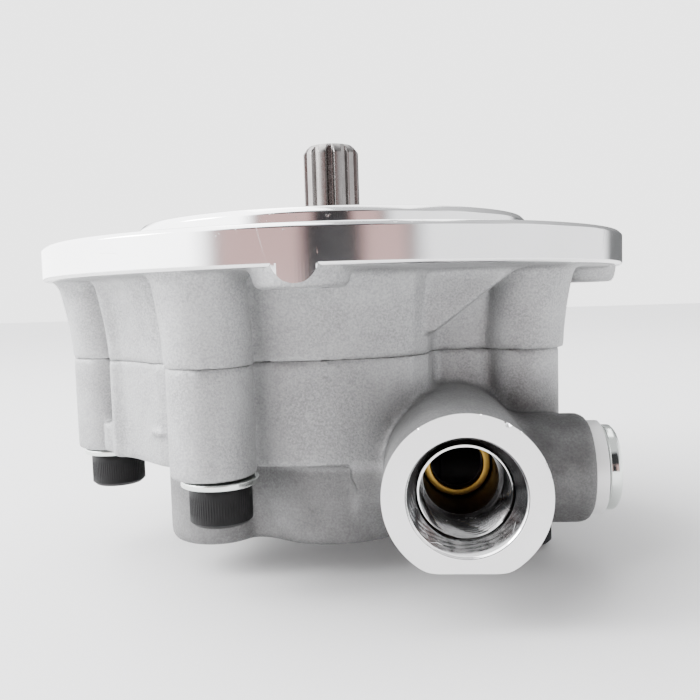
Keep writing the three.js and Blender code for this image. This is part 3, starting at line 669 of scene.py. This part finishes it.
def rear_housing():
    g = Grid((-85, REAR_LOW[1] - 3, CAP - 1), (78, INLET[1] + 3, REAR_TOP + 1))
    piece = cast_piece("rear_housing_casting", rear_cast(g), g, CAST_REAR)
    faces = [
        box_mesh("outlet_facing", (-5, REAR_LOW[1] - 9, -99), (99, REAR_LOW[1], -20)),
        box_mesh("inlet_facing", (-60, INLET[1], -99), (60, INLET[1] + 9, -20)),
        box_mesh("parting_facing", (-99, -99, REAR_TOP + 0.08), (99, 99, REAR_TOP + 9)),
    ]
    for tool in faces:
        combine(piece, tool, "DIFFERENCE", FACED)
    rim = lathe("valve_rim", rounded([
        (VALVE_RIM, VALVE_END - 3), (VALVE_RIM, VALVE_RIM_END), (8, VALVE_RIM_END)], 0.6),
        96, "x", (0, VALVE_Y, VALVE_Z))
    combine(piece, rim, "UNION", FACED)
    y0, y1 = OUTLET[1], INLET[1]
    bores = [
        lathe("outlet_mouth", rounded([
            (OUTLET_MOUTH, y0 - 1), (OUTLET_MOUTH, y0 + 0.2),
            (OUTLET_MOUTH - 0.4, y0 + 0.6), (OUTLET_BORE + 0.5, y0 + 4.4), (OUTLET_BORE, y0 + 6)], 0.35),
            144, "y", (OUTLET[0], 0, OUTLET[2])),
        threaded_bore("outlet_thread", y0 + 4.6, -72, OUTLET_BORE - 0.45, 1.5, 0.75,
                      (OUTLET[0], 0, OUTLET[2])),
        lathe("orifice_bore", [(9.3, -73), (9.3, RING_HIGH[1] + 0.3)], 96, "y",
              (OUTLET[0], 0, OUTLET[2])),
        lathe("throat", [(6.7, -55), (6.7, VALVE_Y)], 64, "y", (OUTLET[0], 0, OUTLET[2])),
        lathe("pressure_passage", [(6, VALVE_Y), (6, -17)], 40, "y", (OUTLET[0], 0, -58)),
        lathe("pressure_cross", [(6, 8), (6, OUTLET[0] + 4)], 40, "x", (0, -17, -52)),
        threaded_bore("inlet_thread", 30, y1 - 3, INLET_BORE - 0.3, 2.1, 0.9, (INLET[0], 0, INLET[2])),
        lathe("inlet_mouth", rounded([
            (INLET_BORE - 0.2, y1 - 5), (INLET_BORE + 0.3, y1 - 3.8), (INLET_MOUTH - 0.2, y1 - 0.7),
            (INLET_MOUTH + 0.3, y1 + 1)], 0.3), 144, "y", (INLET[0], 0, INLET[2])),
        lathe("suction_passage", [(7, -17), (7, 31)], 40, "y", (-29, 0, -52)),
        lathe("suction_cross", [(7, -34), (7, -8)], 40, "x", (0, -17, -52)),
        lathe("valve_bore", [(8, 24), (8, 63)], 72, "x", (0, VALVE_Y, VALVE_Z)),
        lathe("plug_bore", [(9.7, 62), (9.7, VALVE_RIM_END - 3), (11.3, VALVE_RIM_END - 3),
                            (11.3, VALVE_RIM_END + 1)], 96, "x", (0, VALVE_Y, VALVE_Z)),
        lathe("drive_pocket", [(20.1, -64), (20.1, 0)]),
        lathe("driven_pocket", [(20.1, -64), (20.1, 0)], at=(IDLER[0], IDLER[1], 0)),
        lathe("drive_bush_bore", [(11.8, -81.3), (11.8, -63)]),
        lathe("driven_bush_bore", [(11.8, -81.3), (11.8, -63)], at=(IDLER[0], IDLER[1], 0)),
        *screw_holes(-95, 0, 5.5),
        *dowel_holes(-40, 0),
    ]
    for c in LETTERS:
        x, y, _ = SCREW_AT[c]
        bores.append(lathe("spot_face", [(10.8, -99), (10.8, WASHER_SEAT[c])], 64, at=(x, y, 0)))
    rng = np.random.default_rng(11)
    nicks = [(61, 0.95)] + [(float(rng.uniform(5, 130)), float(rng.uniform(0.25, 0.5))) for _ in range(6)]
    for angle, size in nicks:
        turn = math.radians(angle)
        at = (OUTLET[0] + OUTLET_NECK * math.cos(turn), y0, OUTLET[2] + OUTLET_NECK * math.sin(turn))
        bores.append(lathe("nick", [(0.3 * size, -size), (size, -0.3 * size), (size, 0.3 * size),
                                    (0.3 * size, size)], 9, "y", at))
    for bore in bores:
        kind = bore.name.split(".")[0]
        finish = DEEP_SHADE if kind in SHADED_PASSAGES else CHAMFERED if kind in MIRRORED else BORED_SHADED
        combine(piece, bore, "DIFFERENCE", finish)
    smooth(piece)
    return hand_over(piece, "pump_body", "cast_aluminium", "rear_housing")


# ---- the turned and plated pieces ----
def knurled(radius, depth, ridges):
    return lambda turns: radius - depth * np.abs(np.sin(turns * ridges / 2)) ** 1.5


def screw(letter):
    """A socket-head screw: knurled head, chamfers, a hexagon socket and a threaded shank."""
    node = f"body_screw_{letter}"
    low, high = span(node)
    x, y, _ = middle(node)
    head, sides = low[2] + 9.8, 288
    shape = [(6.2, low[2]), (7.0, low[2] + 0.15), (7.6, low[2] + 0.7)]
    rings = [circle(r, h, sides) for r, h in shape]
    for share in np.linspace(0, 1, 8):
        depth = 0.13 * min(1, 5 * share, 5 * (1 - share))
        height = low[2] + 1.1 + share * (head - low[2] - 2.0)
        rings.append(circle(knurled(8.0, depth, 72), height, sides))
    rings += [circle(7.8, head - 0.4, sides), circle(7.4, head, sides), circle(5.2, head, sides)]
    pitch, grip = 1.5, high[2] - 24
    rings += [circle(5.0, head + 0.3, sides), circle(5.0, grip, sides)]
    for i in range(int((high[2] - 1.2 - grip) / pitch * 4)):
        height = grip + 0.1 + i * pitch / 4
        rings.append(circle(
            lambda t, z=height: 5.0 - 0.7 * np.abs(2 * ((z / pitch - t / TAU) % 1) - 1), height, sides))
    rings += [circle(4.2, high[2] - 0.8, sides), circle(3.8, high[2], sides)]
    piece = piece_of(f"socket_screw_{letter}", grid_mesh(node, rings, at=(x, y, 0)), OXIDE)
    hexagon = lathe("hexagon", [
        (5.4, low[2] - 0.4), (4.65, low[2] + 0.5), (4.6, low[2] + 5), (1.0, low[2] + 6.4)],
        6, at=(x, y, 0))
    combine(piece, hexagon, "DIFFERENCE", OXIDE)
    smooth(piece, 40)
    return hand_over(piece, "pump_body", "black_oxide", node)


def washer(letter):
    node = f"body_washer_{letter}"
    low, high = span(node)
    x, y, _ = middle(node)
    profile = rounded([(5.5, low[2]), (9.95, low[2]), (9.95, high[2]), (5.5, high[2])], 0.35, closed=True)
    piece = piece_of(f"plated_washer_{letter}", lathe(node, profile, 128, at=(x, y, 0), loop=True), ZINC)
    smooth(piece, 50)
    return hand_over(piece, "pump_body", "zinc_plate", node)


def drive_shaft():
    """An 11-tooth spline that runs out into a plain journal."""
    teeth, major, minor = 11, 9.2, 7.75
    sides = teeth * 28
    top, shoulder = SHAFT_HIGH[2], 8.0
    offset = math.atan2(IDLER[1], IDLER[0]) + TAU / (2 * teeth)

    def tooth(turns, share):
        wave = np.cos((turns - offset) * teeth)
        step = np.clip(wave * 1.9 + 0.42, -1, 1)
        step = np.sin(step * TAU / 4)
        return minor + (major - minor) * (0.5 + 0.5 * step) * share + (1 - share) * (major - minor)

    rings = [circle(r, h, sides) for r, h in [
        (7.6, SHAFT_LOW[2]), (8.1, SHAFT_LOW[2] + 0.1), (8.98, SHAFT_LOW[2] + 1.0), (8.98, 6.8)]]
    for height in np.linspace(7.2, top, 34):
        share = min(1.0, max(0.0, (height - shoulder) / 2.6))
        cap = major - max(0.0, height - (top - 2.4)) * 0.72 - max(0.0, height - (top - 0.5)) * 0.6
        rings.append(circle(
            lambda t, s=share, c=cap: np.minimum(tooth(t, s), c), height, sides))
    piece = piece_of("splined_drive_shaft", grid_mesh("spline", rings), STEEL)
    low, high = span("drive_key")
    turn = math.atan2(IDLER[1], IDLER[0])
    slot = box_mesh("keyway", (7.0, -2.3, low[2] - 0.3), (11.4, 2.3, high[2] + 0.3))
    slot.transform(Matrix.Rotation(turn, 4, "Z"))
    combine(piece, slot, "DIFFERENCE", STEEL)
    dimple = lathe("centre", [(0.05, top - 2.6), (2.0, top - 0.8), (3.0, top + 0.2)], 48)
    combine(piece, dimple, "DIFFERENCE", STEEL)
    smooth(piece, 35)
    return hand_over(piece, "drive_rotor", "steel", "drive_shaft")


def valve_plug():
    """A plated plug with a rounded head, a hexagon socket and a threaded, grooved neck."""
    start, end = PLUG_LOW[0], PLUG_HIGH[0]
    neck = VALVE_RIM_END + 0.3
    profile = [(8.4, start), *[
        (9.35 - 0.55 * (k % 2), start + 0.8 + k * 0.75) for k in range(11)],
        (8.4, neck - 3.0), (8.4, neck), (11.2, neck), (11.7, neck + 0.4), (11.7, end - 1.1),
        (10.9, end - 0.25), (9.9, end), (1.0, end)]
    mesh = lathe("plug", rounded(profile, 0.35), 144, "x", (0, VALVE_Y, VALVE_Z))
    piece = piece_of("plated_valve_plug", mesh, ZINC)
    hexagon = lathe("hexagon", [(1.0, end - 6.2), (5.4, end - 5), (5.4, end - 0.5), (6.1, end + 0.4)],
                    6, "x", (0, VALVE_Y, VALVE_Z))
    combine(piece, hexagon, "DIFFERENCE", ZINC)
    smooth(piece, 40)
    return hand_over(piece, "pump_body", "zinc_plate", "valve_plug")


def orifice_ring():
    low, high = RING_LOW[1], RING_HIGH[1]
    profile = rounded([(6.85, low), (8.9, low), (8.9, high), (6.85, high)], 0.4, closed=True)
    mesh = lathe("orifice", profile, 128, "y", (OUTLET[0], 0, OUTLET[2]), loop=True)
    piece = piece_of("brass_orifice_ring", mesh, BRASS)
    smooth(piece, 50)
    return hand_over(piece, "pump_body", "brass", "orifice_ring")


def shaft_seal():
    """A lip seal with a dust lip and a garter groove, pressed into the pilot's bore."""
    low, high = span("shaft_seal")
    profile = rounded([
        (16.65, low[2]), (16.65, high[2]), (14.6, high[2]), (13.6, high[2] - 0.7),
        (10.8, high[2] - 0.5), (9.35, high[2] - 1.0), (9.35, high[2] - 1.5), (10.7, high[2] - 2.5),
        (11.6, high[2] - 1.8), (15.0, high[2] - 1.8), (15.0, low[2])], 0.3, closed=True)
    piece = piece_of("rubber_shaft_seal", lathe("seal", profile, 144, loop=True), RUBBER)
    smooth(piece, 40)
    return hand_over(piece, "pump_body", "rubber", "shaft_seal")


def retaining_ring():
    """The spring ring over the seal, open at its back."""
    low, high = span("seal_retaining_ring")
    profile = rounded([(14.6, low[2]), (high[0], low[2]), (high[0], high[2]), (14.6, high[2])],
                      0.3, closed=True)
    piece = piece_of("seal_spring_ring", lathe("ring", profile, 144, loop=True), STEEL)
    gap = box_mesh("gap", (-3.5, 5, low[2] - 1), (3.5, 30, high[2] + 1))
    combine(piece, gap, "DIFFERENCE", STEEL)
    smooth(piece, 40)
    return hand_over(piece, "pump_body", "steel", "seal_retaining_ring")


def valve_spool():
    """The spool: a grooved land with a pocket in its nose and a cup for the spring."""
    low, high = span("valve_spool")
    start, end, radius = low[0], high[0], (high[2] - low[2]) / 2
    profile = rounded([
        (0.05, start + 16), (4.4, start + 16), (4.4, start), (radius - 0.8, start),
        (radius, start + 0.8), (radius, start + 5.5), (radius - 1.6, start + 5.5),
        (radius - 1.6, start + 8), (radius, start + 8), (radius, end - 0.6), (radius - 0.6, end),
        (5.6, end), (5.6, start + 19), (0.05, start + 19)], 0.15)
    mesh = lathe("spool", profile, 144, "x", (0, VALVE_Y, VALVE_Z))
    piece = piece_of("turned_valve_spool", mesh, OXIDE)
    smooth(piece, 40)
    return hand_over(piece, "spool_group", "black_oxide", "valve_spool")


def coil_spring(node, body, radius, wire, turns):
    """A coil with closed ends."""
    low, high = span(node)
    height = high[0] - low[0]
    section = np.arange(16) * TAU / 16
    rings = []
    for share in np.linspace(0, 1, turns * 36 + 1):
        lift = np.clip((share * turns - 0.5) / (turns - 1), 0, 1)
        rise = low[0] + wire + lift * (height - 4.6 * wire) + share * 2.6 * wire
        out = np.array([math.cos(share * turns * TAU), math.sin(share * turns * TAU), 0])
        centre = radius * out + (0, 0, rise)
        rings.append(centre + wire * (np.cos(section)[:, None] * out
                                      + np.sin(section)[:, None] * np.array([0, 0, 1])))
    piece = piece_of(f"wound_{node}", grid_mesh(node, rings, "x", (0, VALVE_Y, VALVE_Z)), STEEL)
    smooth(piece, 50)
    hand_over(piece, body, "steel", node)
    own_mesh(piece)


front_housing()
rear_housing()
for letter in LETTERS:
    screw(letter)
    washer(letter)
drive_shaft()
valve_plug()
orifice_ring()
shaft_seal()
retaining_ring()
valve_spool()
coil_spring("valve_spring", "pump_body", 4.4, 0.65, 6)
coil_spring("relief_spring", "spool_group", 2.8, 0.45, 3)

# The inner pieces keep their CAD shapes and take a finish of their own.
FINISH = {"steel": STEEL, "gear_steel": GEAR_STEEL, "black_oxide": OXIDE, "zinc_plate": ZINC,
          "brass": BRASS, "rubber": RUBBER, "cast_aluminium": CAST}
for entry in frame["record"]["subparts"]:
    node = frame["nodes"][entry["node"]]
    if node.hide_render:
        continue
    node.data.materials.clear()
    node.data.materials.append(FINISH[entry["material_slot"]])


# ---- the studio ----
def softbox(name, place, width, height, power):
    lamp = bpy.data.lights.new(name, "AREA")
    lamp.shape, lamp.size, lamp.size_y, lamp.energy = "RECTANGLE", width, height, power
    holder = bpy.data.objects.new(name, lamp)
    bpy.context.scene.collection.objects.link(holder)
    holder.location = place
    aim = Vector((0, 0, -0.04)) - Vector(place)
    holder.rotation_euler = aim.to_track_quat("-Z", "Y").to_euler()


def surround():
    """A pale room: bright sides, a softer ceiling, and a dim gap with warm edges in front.

    What the camera sees directly is the plain pale backdrop.
    """
    world = bpy.data.worlds.new("studio")
    world.use_nodes = True
    p = Tree(world.node_tree)
    p.nodes.clear()
    way = p.put("ShaderNodeTexCoord").outputs["Generated"]
    x, y, z = p.put("ShaderNodeSeparateXYZ", {0: way}).outputs
    turn = p.math("ARCTAN2", x, p.math("MULTIPLY", y, -1.0))

    def band(value, low, high, edge):
        rise = p.remap(value, low - edge, low + edge)
        return p.math("MULTIPLY", rise, p.remap(value, high - edge, high + edge, 1.0, 0.0))

    degrees = math.radians
    ceiling = p.mix(p.remap(z, 0.1, 0.8), (0.24, 0.245, 0.25, 1), (1.1, 1.1, 1.12, 1))
    left = band(turn, degrees(-150), degrees(-41), degrees(6))
    right = p.math("MULTIPLY", band(turn, degrees(36), degrees(130), degrees(4)),
                   band(z, -0.15, 0.36, 0.06))
    room = p.mix(left, ceiling, (7.4, 7.4, 7.5, 1))
    room = p.mix(right, room, (2.4, 2.4, 2.45, 1))
    upright = band(z, -0.14, 0.30, 0.04)
    high = band(z, 0.28, 0.74, 0.05)
    warm = p.math("MULTIPLY", band(turn, degrees(-37), degrees(32), degrees(4)), upright)
    dark = p.math("MULTIPLY", band(turn, degrees(-6), degrees(16), degrees(2.5)), upright)
    above = p.math("MULTIPLY", band(turn, degrees(-32), degrees(30), degrees(4)), high)
    room = p.mix(warm, room, (1.10, 0.70, 0.67, 1))
    room = p.mix(p.math("MAXIMUM", dark, above), room, (0.06, 0.058, 0.062, 1))
    room = p.mix(p.remap(z, -0.4, -0.14, 1.0, 0.0), room, (0.3, 0.31, 0.31, 1))
    seen = p.put("ShaderNodeLightPath").outputs["Is Camera Ray"]
    room = p.mix(seen, room, (3.2, 3.2, 3.2, 1))
    back = p.put("ShaderNodeBackground", {"Color": room, "Strength": 1.0})
    p.put("ShaderNodeOutputWorld", {0: back.outputs[0]})
    bpy.context.scene.world = world


def studio():
    surround()
    size = 3.0
    level = cad_box[0][2] - 0.001
    mesh = mesh_of("floor", [(-size, -size, level), (size, -size, level), (size, size, level),
                             (-size, size, level)], [(0, 1, 2, 3)])
    pale = Paint("pale_floor")
    tone = pale.mix(pale.grain(3), grey(0.84), grey(0.87))
    piece_of("floor", mesh, pale.finish(tone, pale.remap(pale.grain(9), 0, 1, 0.7, 0.8), 0.0))
    softbox("key", (-0.75, -0.2, 0.4), 0.35, 0.35, 7.0)
    softbox("fill", (0.7, -0.1, 0.35), 0.3, 0.4, 0.35)
    softbox("top", (0.0, 0.45, 0.9), 0.9, 0.7, 7)


EYE = (0.0247, -0.2564, -0.0165)
YAW, PITCH, ROLL = (math.radians(a) for a in (-4.51, -4.13, -1.77))
LENS = 38.81


def camera():
    """The eye is a little below the flange, close to the pump, so near edges loom."""
    lens = bpy.data.cameras.new("camera")
    lens.sensor_width, lens.lens = 36.0, LENS
    lens.clip_start = 0.005
    holder = bpy.data.objects.new("camera", lens)
    bpy.context.scene.collection.objects.link(holder)
    ahead = Vector((math.sin(YAW) * math.cos(PITCH), math.cos(YAW) * math.cos(PITCH), math.sin(PITCH)))
    side = Vector((math.cos(YAW), -math.sin(YAW), 0))
    up = side.cross(ahead)
    right = side * math.cos(ROLL) + up * math.sin(ROLL)
    top = up * math.cos(ROLL) - side * math.sin(ROLL)
    turn = Matrix((right, top, -ahead)).transposed().to_4x4()
    holder.matrix_world = Matrix.Translation(EYE) @ turn
    bpy.context.scene.camera = holder


studio()
camera()
bpy.context.view_layer.update()
